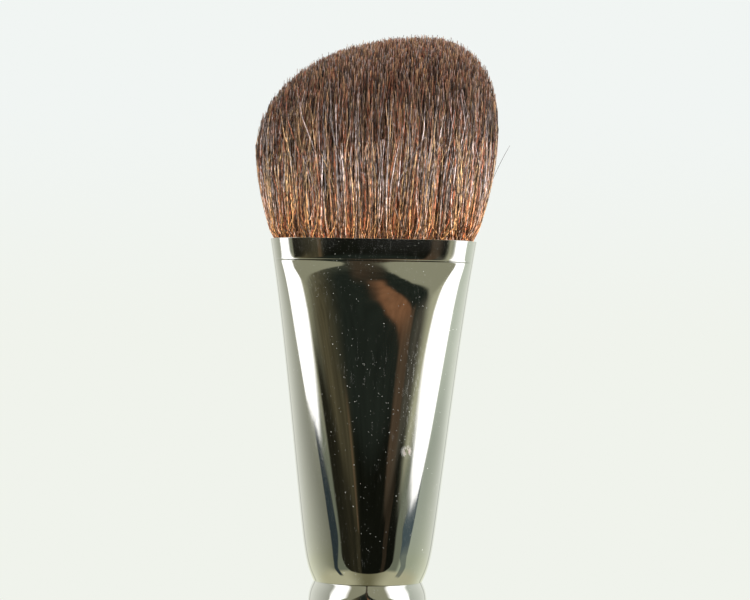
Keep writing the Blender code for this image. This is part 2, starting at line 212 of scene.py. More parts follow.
# Cloth and floor of the tent
RIGHT_ACROSS = (-30, 30)
LIT_FOOT_UP = (-8, -5.4)
LIT_HEAD_UP = (-1, -4)
SEAM_ACROSS = (147, 153, 2)
SEAM_SHADE = 0.35
FLOOR_CAST = (1, 1, 0.86)  # what the floor's light does to the cloth near it
CAST_UP = (-6, -16)
FRONT_UP = (-4.5, -2.5)
FRONT_ACROSS = (66, 57)
FRONT_LIT_UP = (-2.6, 3.6, 1.2)
GROUND_ACROSS = (4, 62)
GROUND_BACK_ACROSS = (100, 150)
ROOF_UP = (60, 80)

# Dim shapes in the room beyond the opening
UPPER_UP = (-1.5, 0)
DIM_UP = (1.2, 2.6)
OLIVE_ACROSS = (-9, -30)
OLIVE_END_ACROSS = (-26, -37)
OLIVE_END_UP = (0.5, -1)
STRIPE_ACROSS = (-20, -13.5, 2)
STRIPE_UP = (2.4, 1.6)
LINE_ACROSS = (-15.8, -13.8, 0.6)
LINE_UP = (-2, 1.9, 0.8)
GLOW_ACROSS = (12, -2)
GLOW_UP = (-1.6, -0.6)
GLOW_FADE_UP = (4, 16)
HAZE_ACROSS = (15, 26)
HAZE_UP = (6.5, 3)
BROWN_INNER = ((-12, 26), (-2, 23.5), (-1.2, 20), (-0.2, 17.5), (0.8, 15), (3.1, 12.5), (6, 12.5))
BROWN_ACROSS = (0, 7, 1)  # from its inner edge
BROWN_UP = (6.2, 4.8)
NECK_ACROSS = (-3.5, 0.5, 2)
NECK_UP = (14, 23)
PATCH_LEFT = ((3.6, 12.5), (5.6, 8.3), (7.3, 2.8), (10, 0.6), (15.9, -0.8), (24, -1))
PATCH_RIGHT = ((3.6, 19), (6, 16), (8.5, 11.3), (12, 5.2), (15.7, 1.6), (24, 0.5))
PATCH_SOFT = 0.9
PATCH_UP = (4.9, 18.5, 2)


# Settings


def length(name, default, description):
    """A size, given here in millimetres."""
    return FloatProperty(name=name, description=description, default=default * MM, unit="LENGTH", precision=5)


def portion(name, default, description):
    return FloatProperty(name=name, description=description, default=default, min=0, max=1, subtype="FACTOR")


def figure(name, default, description):
    return FloatProperty(name=name, description=description, default=default)


def count(name, default, description):
    return IntProperty(name=name, description=description, default=default, min=1)


def angle(name, default, description):
    """An angle, given here in degrees."""
    return FloatProperty(name=name, description=description, default=math.radians(default), subtype="ANGLE")


def colour(name, default, description):
    return FloatVectorProperty(
        name=name, description=description, default=default, size=3, min=0, max=1, subtype="COLOR"
    )


class FerruleSettings(PropertyGroup):
    wall: length("Wall", 0.45, "Thickness of the tube")
    barrel_radius: length("Barrel radius", 7.5, "Radius of the skirt and of the bead between the crimps")
    crimp_depth: length("Crimp depth", 0.7, "How far a crimp is pressed in")
    crimp_reach: length("Crimp reach", 1.15, "Half the width of a crimp, towards the bead")
    skirt_height: length("Skirt height", 3.4, "Foot of the ferrule to its lower crimp")
    crimp_spacing: length("Crimp spacing", 5.5, "Lower crimp to upper crimp")
    shoulder_radius: length("Shoulder radius", 8.05, "Radius where the tube starts to flatten")
    shoulder_height: length("Shoulder height", 4.0, "Upper crimp to the full shoulder")
    shoulder_reach: length("Shoulder reach", 1.75, "Height over which the shoulder swells out")
    lip_height: length("Lip height", 2.75, "Crease to mouth")
    mouth_width: length("Mouth width", 25.8, "Outside of the mouth, side to side")
    mouth_depth: length("Mouth depth", 12.0, "Outside of the mouth, front to back")
    mouth_squareness: figure("Mouth squareness", 3.3, "Exponent of the mouth's rounded outline")
    crease_reach: length("Crease reach", 2.2, "How far down the bulge under the lip builds up")
    crease_round: length("Crease round", 0.25, "How softly the lip bends into the bulge")
    lip_flare: length("Lip flare", 0.05, "How far the lip opens, front and back, from crease to mouth")
    bead_rise: length("Bead rise", 0.02, "Height of the fine bead along the lip's lower edge")
    bead_width: length("Bead width", 0.07, "Half the width of that bead")
    edge_round: length("Edge round", 0.03, "How far the tube's cut edges are rounded")
    crease_bulge: portion("Crease bulge", 0.35, "Share of the change from lip to shoulder made at the crease")
    side_sag: portion("Side sag", 0.28, "How hollow the narrowing sides are")
    plating: colour("Plating", (0.80, 0.79, 0.75), "Bright nickel")
    dust: colour("Dust", (0.72, 0.71, 0.66), "Specks that lie on the polish")
    lint: colour("Lint", (0.46, 0.13, 0.15), "Bit of reddish lint caught on the front")


class HandleSettings(PropertyGroup):
    butt_flat: length("Butt flat", 3.6, "Width of the small flat at the butt")
    tail_diameter: length("Tail diameter", 8.0, "Thickness just above the rounded butt")
    tail_round: length("Tail round", 5.0, "Height of the rounded butt")
    belly_diameter: length("Belly diameter", 15.6, "Thickest part")
    belly_drop: length("Belly drop", 15.0, "Belly below the ferrule's foot")
    neck_diameter: length("Neck diameter", 14.7, "Thickness at the ferrule's foot")
    foot_gap: length("Foot gap", 0.3, "Neck to the ferrule's foot")
    tenon_diameter: length("Tenon diameter", 12.9, "Part of the handle inside the ferrule")
    tenon_chamfer: length("Tenon chamfer", 0.6, "Bevel at the tenon's end")
    lacquer: colour("Lacquer", (0.0090, 0.0085, 0.0090), "Black gloss lacquer")
    wood: colour("Wood", (0.55, 0.38, 0.22), "Bare wood of the tenon, inside the ferrule")
    flow: length("Flow", 0.012, "Height of the slow waves left in the lacquer")


class HairSettings(PropertyGroup):
    pitch: length("Hair pitch", 0.12, "Distance between hairs at the mouth")
    thickness: length("Hair thickness", 0.105, "Thickness of a hair along most of its length")
    root_depth: length("Root depth", 6.0, "Mouth down to the resin in which the hairs are set")
    mouth_gap: length("Mouth gap", 0.03, "Outermost hairs to the ferrule's wall")
    mouth_swell: length("Mouth swell", 0.33, "How far the hairs spring out over the lip")
    side_flare: length("Side flare", 2.45, "How far the tuft spreads past the mouth, each way along X")
    depth_flare: length("Depth flare", 2.35, "And each way along Y")
    flare_height: length("Flare height", 13.0, "Height over the mouth at which the tuft is widest")
    squareness: figure("Squareness", 2.3, "Exponent of the spread tuft's outline from above")
    low_side_drop: length("Low side drop", 15.6, "Peak down to the edge of the short side")
    long_side_drop: length("Long side drop", 12.2, "Peak down to the edge of the long side")
    peak_shift: length("Peak shift", 5.9, "Peak of the dome from the axis, towards the long side")
    dome_squareness: figure("Dome squareness", 2.2, "Exponent of the dome that the tips make")
    lean: length("Lean", 0.7, "Of the tuft's middle at its tip, towards the long side")
    proud: length("Proud tips", 0.13, "Usual height of the few hairs that stand over the dome")
    crown: length("Crown", 0.17, "Extra length that makes up for the uneven tips")
    uneven: length("Uneven tips", 0.45, "Usual shortfall of a hair's tip under the dome")
    clump_pitch: length("Clump pitch", 0.5, "Distance between the small points that the tips make")
    clumping: portion("Clumping", 0.25, "How far a tip is drawn to its clump")
    drift: length("Drift", 0.35, "How far neighbouring hairs wander together")
    stray: length("Stray", 0.5, "How far each hair wanders by itself")
    seed: count("Seed", 11, "Start of the random draws")
    gold: colour("Gold", (0.76, 0.485, 0.255), "Lightest hairs, near the root")
    russet: colour("Russet", (0.42, 0.145, 0.075), "Reddish hairs, near the root")
    chestnut: colour("Chestnut", (0.45, 0.255, 0.157), "Middle brown hairs, near the root")
    umber: colour("Umber", (0.092, 0.051, 0.037), "Darkest hairs, near the root")
    # Ash is also the colour of the painted glints (painted highlights) on every shade
    ash: colour("Ash", (0.70, 0.585, 0.575), "Greyish hairs, near the root")


class InsideSettings(PropertyGroup):
    bed_thickness: length("Bed thickness", 2.0, "Resin that holds the hairs")
    bed_creep: length("Bed creep", 0.5, "How far the resin has crept up the wall")
    resin: colour("Resin", (0.30, 0.15, 0.05), "Resin that bonds the roots")
    cotton: colour("Cotton", (0.62, 0.56, 0.44), "Waxed binding thread")
    glue: colour("Glue", (0.72, 0.60, 0.36), "Dried glue round the tenon")


class StudioSettings(PropertyGroup):
    camera_distance: length("Camera distance", 287.5, "Camera to the brush's axis")
    camera_drop: length("Camera drop", 15.2, "Camera below the ferrule's mouth")
    aim_drop: length("Aim drop", 7.38, "Middle of the picture below the mouth")
    aim_shift: length("Aim shift", 0.3, "Middle of the picture right of the axis")
    lens: figure("Lens", 110.4, "Focal length in millimetres, on a sensor 36 mm wide")
    roll: angle("Roll", 1.0, "Turn of the camera about its view")
    floor_radius: length("Floor radius", 6000.0, "Size of the floor")
    floor_fade: length("Floor fade", 900.0, "Distance at which the floor has become backdrop")
    floor: colour("Floor", (0.56, 0.57, 0.545), "Pale floor under the brush")
    backdrop_high: colour("Backdrop", (0.879, 0.913, 0.896), "Backdrop above the brush")
    backdrop_low: colour("Backdrop foot", (0.871, 0.896, 0.838), "Backdrop at the horizon")
    left_lamp: figure("Left lamp", 4.2, "Radiance of the lamp on the left")
    right_lamp: figure("Right lamp", 8.3, "Radiance of the lamp on the right")
    glare: figure("Glare", 1.6, "The same where polished metal shows them, so that their edges stay soft")
    tent_pale: colour("Tent", (0.95, 0.98, 0.91), "Tent wall behind the brush")
    tent_shade: colour("Tent shade", (0.165, 0.170, 0.125), "Tent wall beyond the left lamp")
    tent_cool: colour("Tent cool", (0.37, 0.41, 0.35), "Tent wall beyond the right lamp")
    tent_front: colour("Tent front", (0.286, 0.286, 0.200), "Tent over the opening")
    tent_strip: colour("Tent strip", (0.157, 0.174, 0.125), "Tent beside the opening, under the lamps")
    tent_floor: colour("Tent floor", (0.165, 0.157, 0.088), "Floor in front of the opening")
    tent_ground: colour("Tent ground", (0.47, 0.46, 0.31), "Floor on either side of the brush")
    opening: colour("Opening", (0.0060, 0.0066, 0.0043), "Dark front opening of the tent")
    opening_dim: colour("Opening top", (0.015, 0.0195, 0.015), "The same, higher up")
    olive: colour("Olive", (0.083, 0.072, 0.040), "Dim wall seen through the opening on the left")
    haze: colour("Haze", (0.070, 0.066, 0.050), "Dim wall seen through the opening on the right")
    warm: colour("Warm", (0.205, 0.100, 0.050), "Warm patch of the dark room beyond")
    brown: colour("Brown", (0.080, 0.055, 0.034), "Darker part of that patch")
    stand: colour("Lamp stand", (0.095, 0.135, 0.150), "Stands under the lamps")


SETTINGS = {
    "brush_studio": StudioSettings,
    "brush_handle": HandleSettings,
    "brush_ferrule": FerruleSettings,
    "brush_hair": HairSettings,
    "brush_inside": InsideSettings,
}


# Shader maths


class Term:
    """One socket of a finish. Arithmetic on it adds Math nodes, and its methods add the other usual ones."""

    def __init__(self, recipe, socket):
        self.recipe = recipe
        self.socket = socket

    def __add__(self, other):
        return self.recipe.math("ADD", self, other)

    __radd__ = __add__

    def __sub__(self, other):
        return self.recipe.math("SUBTRACT", self, other)

    def __rsub__(self, other):
        return self.recipe.math("SUBTRACT", other, self)

    def __mul__(self, other):
        return self.recipe.math("MULTIPLY", self, other)

    __rmul__ = __mul__

    def __truediv__(self, other):
        return self.recipe.math("DIVIDE", self, other)

    def __rtruediv__(self, other):
        return self.recipe.math("DIVIDE", other, self)

    def __abs__(self):
        return self.recipe.math("ABSOLUTE", self)

    def spread(self, low, high):
        """0 at low, 1 at high and smooth between. Of two numbers, low may be the higher one."""
        settings = {"interpolation_type": "SMOOTHSTEP"}
        if not isinstance(low, Term) and not isinstance(high, Term) and low > high:
            return 1 - self.recipe.add("ShaderNodeMapRange", settings, {0: self, 1: high, 2: low})
        return self.recipe.add("ShaderNodeMapRange", settings, {0: self, 1: low, 2: high})

    def within(self, low, high, soft):
        """1 between low and high, with soft edges. All three may be terms."""
        return ((self - low) / soft).spread(-1, 1) * ((self - high) / soft).spread(1, -1)

    def profile(self, points):
        """Heights between (place, height) points."""
        first, last = points[0][0], points[-1][0]
        top = max(height for _, height in points)
        stops = [((place - first) / (last - first), height / top) for place, height in points]
        share = (self - first) / (last - first)
        return self.recipe.add("ShaderNodeValToRGB", {"stops": stops}, {0: share}) * top

    def blend(self, first, second):
        """A mix of two colours, with this as the share of the second."""
        first, second = (tint if isinstance(tint, Term) else (*tint[:3], 1) for tint in (first, second))
        sockets = {0: self, 6: first, 7: second}
        return self.recipe.add("ShaderNodeMix", {"data_type": "RGBA"}, sockets, output=2)

    def scaled(self, scale):
        return self.recipe.add("ShaderNodeVectorMath", {"operation": "MULTIPLY"}, {0: self, 1: scale})

    def turned(self, rotation, scale):
        """A vector turned about each axis, then scaled."""
        sockets = {"Vector": self, "Rotation": rotation, "Scale": scale}
        return self.recipe.add("ShaderNodeMapping", None, sockets)

    def axes(self):
        """The X, Y and Z of a vector."""
        first = self.recipe.add("ShaderNodeSeparateXYZ", None, {0: self})
        return [Term(self.recipe, output) for output in first.socket.node.outputs]

    def noise(self, scale, detail=2.0):
        return self.recipe.add("ShaderNodeTexNoise", None, {"Vector": self, "Scale": scale, "Detail": detail})

    def cells(self, scale, output="Distance"):
        return self.recipe.add("ShaderNodeTexVoronoi", None, {"Vector": self, "Scale": scale}, output)

    def grains(self, scale, edge, lots):
        """Scattered grains: where in its cell a grain ends and fills up, and which cells by lot have one."""
        lot, _, _ = self.cells(scale, "Color").axes()
        return self.cells(scale).spread(*edge) * lot.spread(*lots)

    def bump(self, distance):
        return self.recipe.add("ShaderNodeBump", None, {"Height": self, "Distance": distance})


class Recipe:
    """The nodes of one material or of the world, its owner."""

    def __init__(self, owner):
        owner.use_nodes = True
        self.owner = owner
        self.tree = owner.node_tree
        self.tree.nodes.clear()

    def add(self, kind, settings=None, sockets=None, output=0):
        """A node of a kind: its settings first, then the values or links of its sockets."""
        node = self.tree.nodes.new(kind)
        for name, value in (settings or {}).items():
            if name == "stops":
                self.set_stops(node.color_ramp, value)
            else:
                setattr(node, name, value)
        for name, value in (sockets or {}).items():
            if isinstance(value, Term):
                self.tree.links.new(value.socket, node.inputs[name])
            else:
                node.inputs[name].default_value = value
        return Term(self, node.outputs[output]) if node.outputs else None

    def math(self, operation, first, second=0.0):
        return self.add("ShaderNodeMath", {"operation": operation}, {0: first, 1: second})

    @staticmethod
    def set_stops(ramp, stops):
        while len(ramp.elements) < len(stops):
            ramp.elements.new(1)
        for element, (position, grey) in zip(ramp.elements, stops):
            element.position = position
            element.color = (grey, grey, grey, 1)

    def place(self, output="Object"):
        return self.add("ShaderNodeTexCoord", output=output)

    def surface(self, **sockets):
        """The finish itself, from the Principled shader's sockets."""
        named = {name.replace("_", " ").title(): value for name, value in sockets.items()}
        shader = self.add("ShaderNodeBsdfPrincipled", None, named)
        self.add("ShaderNodeOutputMaterial", None, {"Surface": shader})
        return self.owner


def new_recipe(name):
    return Recipe(bpy.data.materials.new(name))


def shade(tint, share):
    """A colour made darker or lighter."""
    return tuple(share * part for part in tint)


def mixed(first, second, share):
    """A colour between two others."""
    return tuple(one + (other - one) * share for one, other in zip(first, second))


# Finishes


def nickel_finish(metal):
    """Bright nickel: nearly a mirror, with fine scratches, specks of dust, a dull film on the lip, a rubbed
    band and a bit of lint."""
    recipe = new_recipe("bright_nickel")
    place = recipe.place()
    x, _, height = place.axes()
    haze = place.noise(160, detail=4)
    patches = place.noise(190, detail=1).spread(0.48, 0.66)
    strokes = place.turned((0, 0.5, 0), (1.0, 1.0, 0.12)).noise(5200, detail=1)
    scratches = strokes.spread(0.62, 0.72) * patches
    clusters = place.noise(330, detail=1).spread(0.40, 0.56)
    specks = place.grains(SPECK_CELLS, (0.15, 0.05), (0.74, 0.97)) * (0.15 + clusters * 0.85)
    dust = place.grains(DUST_CELLS, (0.24, 0.08), (0.86, 0.97)) * clusters * 0.7
    specks = recipe.math("MAXIMUM", specks, dust)
    film = height.spread(MOUTH_Z - metal.lip_height, MOUTH_Z) * haze.spread(0.3, 0.7)
    rubs = place.turned((0, -0.5, 0), (1.0, 1.0, 0.3)).noise(4300, detail=1)
    rubbed = rubs.spread(0.54, 0.66) * x.within(*RUBBED_ACROSS) * height.within(*RUBBED_UP)
    away = recipe.add("ShaderNodeVectorMath", {"operation": "DISTANCE"}, {0: place, 1: LINT_SPOT}, "Value")
    lint = away.spread(*LINT_REACH) * rubs.spread(0.44, 0.54) * 0.75
    marks = specks + scratches * 0.035 + film * 0.014 + rubbed * 0.12 + lint
    grime = haze.spread(0.45, 0.75) * 0.35
    tone = grime.blend(metal.plating, shade(metal.plating, 0.93))
    return recipe.surface(
        base_color=marks.blend(tone, lint.blend(metal.dust, metal.lint)),
        metallic=1 - marks,
        roughness=0.03 + haze * 0.03 + scratches * 0.03 + specks * 0.4,
        normal=haze.bump(NICKEL_BUMPS),
    )


def lacquer_finish(handle):
    """Black lacquer with slow waves and small rubbed spots, on wood that is bare inside the ferrule."""
    recipe = new_recipe("lacquered_wood")
    place = recipe.place()
    _, _, height = place.axes()
    bare = height.spread(FOOT_Z - handle.foot_gap, FOOT_Z)
    waves = place.scaled((1.0, 1.0, 0.4)).noise(170)
    grain = place.scaled((1.0, 1.0, 0.03)).noise(2200, detail=4)
    rubs = place.noise(420, detail=3).spread(0.58, 0.78)
    veins = grain.spread(0.4, 0.68)
    black = veins.blend(handle.lacquer, shade(handle.lacquer, 1.8))
    wood = veins.blend(handle.wood, shade(handle.wood, 0.62))
    gloss = 0.08 + rubs * 0.1
    return recipe.surface(
        base_color=bare.blend(black, wood),
        roughness=gloss + bare * (0.7 - gloss),
        coat_weight=(0.4 - rubs * 0.2) * (1 - bare),
        normal=(waves + grain * (0.06 + bare * 2)).bump(handle.flow),
    )


def resin_finish(inside):
    """Amber resin, cloudy where it has soaked into the roots."""
    recipe = new_recipe("amber_resin")
    clouds = recipe.place().noise(700, detail=4)
    return recipe.surface(
        base_color=clouds.spread(0.35, 0.7).blend(inside.resin, shade(inside.resin, 0.45)),
        roughness=0.22 + clouds * 0.2,
        coat_weight=0.4,
        normal=clouds.bump(RESIN_BUMPS),
    )


def cotton_finish(inside):
    """Twisted cotton, waxed."""
    recipe = new_recipe("waxed_cotton")
    settings = {"wave_type": "BANDS", "bands_direction": "DIAGONAL"}
    sockets = {"Vector": recipe.place(), "Scale": 700.0, "Distortion": 1.5, "Detail": 2.0}
    twist = recipe.add("ShaderNodeTexWave", settings, sockets, output="Fac")
    return recipe.surface(
        base_color=twist.blend(shade(inside.cotton, 0.55), inside.cotton),
        roughness=0.75 + twist * 0.15,
        normal=twist.bump(COTTON_BUMPS),
    )


def glue_finish(inside):
    """Dried glue with small bubbles."""
    recipe = new_recipe("dried_glue")
    place = recipe.place()
    clouds = place.noise(500, detail=3)
    bubbles = place.cells(1400).spread(0.35, 0.1)
    return recipe.surface(
        base_color=clouds.blend(inside.glue, shade(inside.glue, 0.7)),
        roughness=0.35 + clouds * 0.3,
        normal=bubbles.bump(GLUE_BUMPS),
    )


def varied(chance, tint, variety):
    """A colour that each hair has darker or lighter, by chance."""
    return chance.blend(shade(tint, 1 - variety), shade(tint, 1 + variety))


def hair_finish(hair, name, root):
    """One shade of hair: golden at the foot with painted light, dark towards the top, with streaks, painted
    glints and paler tips.
    """
    recipe = new_recipe(name)
    strand = recipe.add("ShaderNodeUVMap", {"uv_map": "Strand"})
    chance, along, _ = strand.axes()
    _, _, height = recipe.place().axes()
    over = (height - MOUTH_Z) / TUFT_HEIGHT
    # Partly painted light: the foot is made paler and more golden than the middle
    foot = tuple(part * gain for part, gain in zip(root, FOOT_TONE_AND_LIGHT))
    top = tuple(part * gain for part, gain in zip(mixed(root, hair.umber, 0.25), TOP_GAIN))
    low = varied(chance, foot, LOW_VARIETY)
    middle = varied(chance, root, LOW_VARIETY)
    high = varied(chance.spread(0.08, 0.92), top, TOP_VARIETY)
    tone = over.spread(0, 0.32).blend(low, middle)
    tone = over.spread(0.26, 0.86).blend(tone, high)
    dark = strand.scaled(STREAK_SPREAD).noise(1, detail=1)
    tone = (dark.spread(0.5, 0.64) * 0.8).blend(tone, shade(hair.umber, 0.6))
    locks = recipe.place().scaled(LOCK_SPREAD).noise(4200, detail=1)
    tone = tone.scaled(0.6 + locks.spread(0.38, 0.62) * 0.8)
    # Painted highlights: pale dashes of ash at mid height stand in for the lamps' glints on the hairs
    pale = strand.scaled(PAINTED_GLINT_SPREAD).noise(1, detail=1)
    painted_glints = pale.spread(0.58, 0.7) * over.within(0.15, 0.65, 0.15) * 0.55
    tone = painted_glints.blend(tone, hair.ash)
    return recipe.surface(
        base_color=(along.spread(0.96, 1) * 0.35).blend(tone, root),
        roughness=0.25 + chance * 0.14,
    )


# Pieces and meshes


def add_piece(name, mesh, material, slot, *nodes):
    """A piece that rides on the brush's one body and stands for these CAD nodes."""
    thing = bpy.data.objects.new(name, mesh)
    mesh.materials.append(material)
    bpy.context.scene.collection.objects.link(thing)
    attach(thing, "root")
    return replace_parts(thing, *nodes)


def build_mesh(name, points, groups):
    """A smooth mesh from its points and from arrays of faces, one array for each number of corners."""
    mesh = bpy.data.meshes.new(name)
    corners = np.concatenate([group.ravel() for group in groups]).astype(np.int32)
    sizes = np.concatenate([np.full(len(group), group.shape[1], dtype=np.int32) for group in groups])
    mesh.vertices.add(len(points))
    mesh.vertices.foreach_set("co", points.astype(np.float32).ravel())
    mesh.loops.add(len(corners))
    mesh.loops.foreach_set("vertex_index", corners)
    mesh.polygons.add(len(sizes))
    mesh.polygons.foreach_set("loop_start", np.concatenate([[0], np.cumsum(sizes)[:-1]]).astype(np.int32))
    mesh.update(calc_edges=True)
    mesh.shade_smooth()
    return mesh


def add_map(mesh, name, values):
    """A UV map with a pair for each corner of each face."""
    layer = mesh.uv_layers.new(name=name)
    layer.uv.foreach_set("vector", values.astype(np.float32).ravel())


def wall_faces(rings, sides, closed=False):
    """Quads between stacked rings of points. In a closed wall the last ring meets the first."""
    side = np.arange(sides)
    after = (side + 1) % sides
    low = np.arange(rings if closed else rings - 1)[:, None] * sides
    high = (low + sides) % (rings * sides)
    return np.stack([low + side, low + after, high + after, high + side], axis=-1).reshape(-1, 4)


def ring(section, height, sides):
    """Points round a section (half width, half depth, exponent) at a height, counter-clockwise from +X."""
    half_width, half_depth, exponent = section
    turn = 2 * math.pi * np.arange(sides) / sides
    along, across = np.cos(turn), np.sin(turn)
    edge = (np.abs(along) ** exponent + np.abs(across) ** exponent) ** (-1 / exponent)
    return np.stack([edge * half_width * along, edge * half_depth * across, np.full(sides, height)], axis=1)


def circle(radius, height):
    return ring((radius, radius, 2.0), height, LATHE_SIDES)


def capped_mesh(name, rings):
    """A solid from stacked rings of points, closed by a flat face at each end."""
    side = np.arange(LATHE_SIDES)
    ends = np.stack([side[::-1], (len(rings) - 1) * LATHE_SIDES + side])
    mesh = build_mesh(name, np.concatenate(rings), [wall_faces(len(rings), LATHE_SIDES), ends])
    mesh.set_sharp_from_angle(angle=math.radians(SHARP_ANGLE))
    return mesh


# Ferrule


def heights(metal):
    """(upper crimp, shoulder, crease) over the ferrule's foot."""
    upper = metal.skirt_height + metal.crimp_spacing
    return upper, upper + metal.shoulder_height, FERRULE_HEIGHT - metal.lip_height


def crimp(height, reach, power):
    """Depth of a crimp at heights from its middle: 1 in the middle, fading over its reach."""
    return np.exp(-((np.abs(height) / reach) ** power))


def inset(section, amount):
    return section[0] - amount, section[1] - amount, section[2]


def flare_section(metal, height):
    """(half width, half depth, exponent) of the flattened part, at heights over the ferrule's foot."""
    _, shoulder, crease = heights(metal)
    rise = (height - shoulder) / (FERRULE_HEIGHT - shoulder)
    flare = rise - metal.side_sag * rise**2 * (1 - rise)
    half_width = metal.shoulder_radius + (metal.mouth_width / 2 - metal.shoulder_radius) * flare
    drop_from = crease - height
    drop = (drop_from + np.sqrt(drop_from**2 + metal.crease_round**2)) / 2
    bulge = metal.crease_bulge * (1 - np.exp(-drop / metal.crease_reach))
    rounding = bulge + (1 - metal.crease_bulge) * drop / (crease - shoulder)
    half_depth = metal.mouth_depth / 2 + (metal.shoulder_radius - metal.mouth_depth / 2) * rounding
    off_bead = drop_from / metal.bead_width + BEAD_PLACE
    half_depth = half_depth + metal.bead_rise * np.exp(-(off_bead**2))
    half_depth = half_depth + metal.lip_flare * np.maximum(0, -drop_from) / metal.lip_height
    flatness = np.maximum(0, 1 - rounding)
    squaring = flatness**2 * (1 + SQUARING_EASE) / (flatness + SQUARING_EASE)
    exponent = 2 + (metal.mouth_squareness - 2) * squaring
    return half_width, half_depth, exponent


def tube_section(metal, height):
    """(half width, half depth, exponent) of the ferrule's outside, with its round barrel and two crimps."""
    upper, _, _ = heights(metal)
    bottom = metal.barrel_radius - metal.crimp_depth
    middles = (metal.skirt_height, upper)
    pressed = sum(crimp(height - middle, metal.crimp_reach, CRIMP_POWER) for middle in middles)
    barrel = metal.barrel_radius - metal.crimp_depth * pressed
    swelling = crimp(height - upper, metal.shoulder_reach, SHOULDER_POWER)
    start = flare_section(metal, upper)
    flare = flare_section(metal, height)
    above = np.greater(height, upper)
    half_width = np.where(above, flare[0] - (start[0] - bottom) * swelling, barrel)
    half_depth = np.where(above, flare[1] - (start[1] - bottom) * swelling, barrel)
    return half_width, half_depth, np.where(above, flare[2], 2.0)


def tube_levels(metal):
    """Heights over the foot, closest together where the tube bends."""
    upper, shoulder, crease = heights(metal)
    top = FERRULE_HEIGHT - metal.edge_round
    taper = (shoulder + PAST_SHOULDER, crease - BELOW_CREASE)
    stops = (metal.edge_round, *taper, crease - CLOSE_BELOW_CREASE, crease + CLOSE_ABOVE_CREASE, top)
    levels = [np.linspace(*stretch) for stretch in zip(stops, stops[1:], STRETCH_RINGS)]
    tight = [metal.edge_round + EDGE_HOLD, metal.skirt_height, upper, top - EDGE_HOLD]
    return np.unique(np.concatenate([*levels, tight]))


def ferrule_mesh(metal):
    """The tube as one closed shell, its cut edges a little rounded."""
    wall, edge = metal.wall, metal.edge_round
    top = FERRULE_HEIGHT - edge
    levels = tube_levels(metal)
    turns = np.linspace(0, math.pi / 2, RIM_STEPS)[1:]
    outer = [(edge * (1 - math.cos(turn)), edge * math.sin(turn)) for turn in turns]
    rim = outer + [(wall - cut, lift) for cut, lift in outer[::-1]]
    path = [(level, 0, level) for level in levels]
    path += [(top, cut, top + lift) for cut, lift in rim]
    path += [(level, wall, level) for level in levels[::-3]]
    path += [(edge, cut, edge - lift) for cut, lift in rim[::-1]]
    rings = []
    for level, cut, height in path:
        rings.append(ring(inset(tube_section(metal, level), cut), FOOT_Z + height, TUBE_SIDES))
    faces = wall_faces(len(rings), TUBE_SIDES, closed=True)
    return build_mesh("ferrule_shell", np.concatenate(rings), [faces])


# Handle


def handle_mesh(handle, metal):
    """The handle, turned from (height, radius) points up from its butt to its tenon's end."""
    butt, tail = handle.butt_flat / 2, handle.tail_diameter / 2
    belly, neck = handle.belly_diameter / 2, handle.neck_diameter / 2
    neck_z = FOOT_Z - handle.foot_gap
    belly_z = neck_z - handle.belly_drop
    outline = [(0, butt - HANDLE_BEVEL), (BUTT_BEVEL, butt)]
    for turn in np.linspace(0, math.pi / 2, TAIL_RINGS)[1:]:
        outline.append((handle.tail_round * (1 - math.cos(turn)), butt + (tail - butt) * math.sin(turn)))
    for share in np.linspace(0, 1, BODY_RINGS)[1:]:
        height = handle.tail_round + (belly_z - handle.tail_round) * share
        outline.append((height, tail + (belly - tail) * share**2 * (3 - 2 * share)))
    for share in np.linspace(0, 1, NECK_RINGS)[1:]:
        height = belly_z + (neck_z - HANDLE_BEVEL - belly_z) * share
        outline.append((height, belly - (belly - neck) * share**2))
    outline.append((neck_z, neck - HANDLE_BEVEL))
    tenon = handle.tenon_diameter / 2
    outline.append((neck_z, tenon))
    end = handle_high.z - FOOT_Z
    for level in np.linspace(0, end - handle.tenon_chamfer, TENON_RINGS):
        snug = float(tube_section(metal, level)[1]) - metal.wall - handle.foot_gap
        outline.append((FOOT_Z + level, min(tenon, snug)))
    outline.append((handle_high.z, tenon - handle.tenon_chamfer))
    return capped_mesh("turned_handle", [circle(radius, height) for height, radius in outline])


# Hair


def tuft_section(hair, metal, over):
    """(half width, half depth, exponent) of the middles of the outermost hairs, at heights over the mouth."""
    inside = metal.wall + hair.mouth_gap + hair.thickness / 2
    section = flare_section(metal, FERRULE_HEIGHT + np.minimum(over, 0))
    half_width, half_depth, exponent = inset(section, inside)
    above = np.maximum(over, 0)
    spread = np.sin(math.pi / 2 * np.minimum(above / hair.flare_height, 1))
    swell = hair.mouth_swell * (1 - np.exp(-above / SWELL_REACH))
    half_depth = np.minimum(half_depth, metal.mouth_depth / 2 - inside)
    half_width = half_width + swell + hair.side_flare * spread
    half_depth = half_depth + swell + hair.depth_flare * spread
    return half_width, half_depth, exponent + (hair.squareness - exponent) * spread


def tuft_place(hair, metal, spot, over):
    """(x, y) of spots of the unit disc, at heights over the mouth."""
    reach = np.maximum(np.hypot(spot[..., 0], spot[..., 1]), 1e-6)
    along, across = np.abs(spot[..., 0]) / reach, np.abs(spot[..., 1]) / reach
    half_width, half_depth, exponent = tuft_section(hair, metal, over)
    edge = (along**exponent + across**exponent) ** (-1 / exponent)
    lean = hair.lean * (np.maximum(over, 0) / TUFT_HEIGHT) ** 2
    return edge * half_width * spot[..., 0] + lean, edge * half_depth * spot[..., 1]


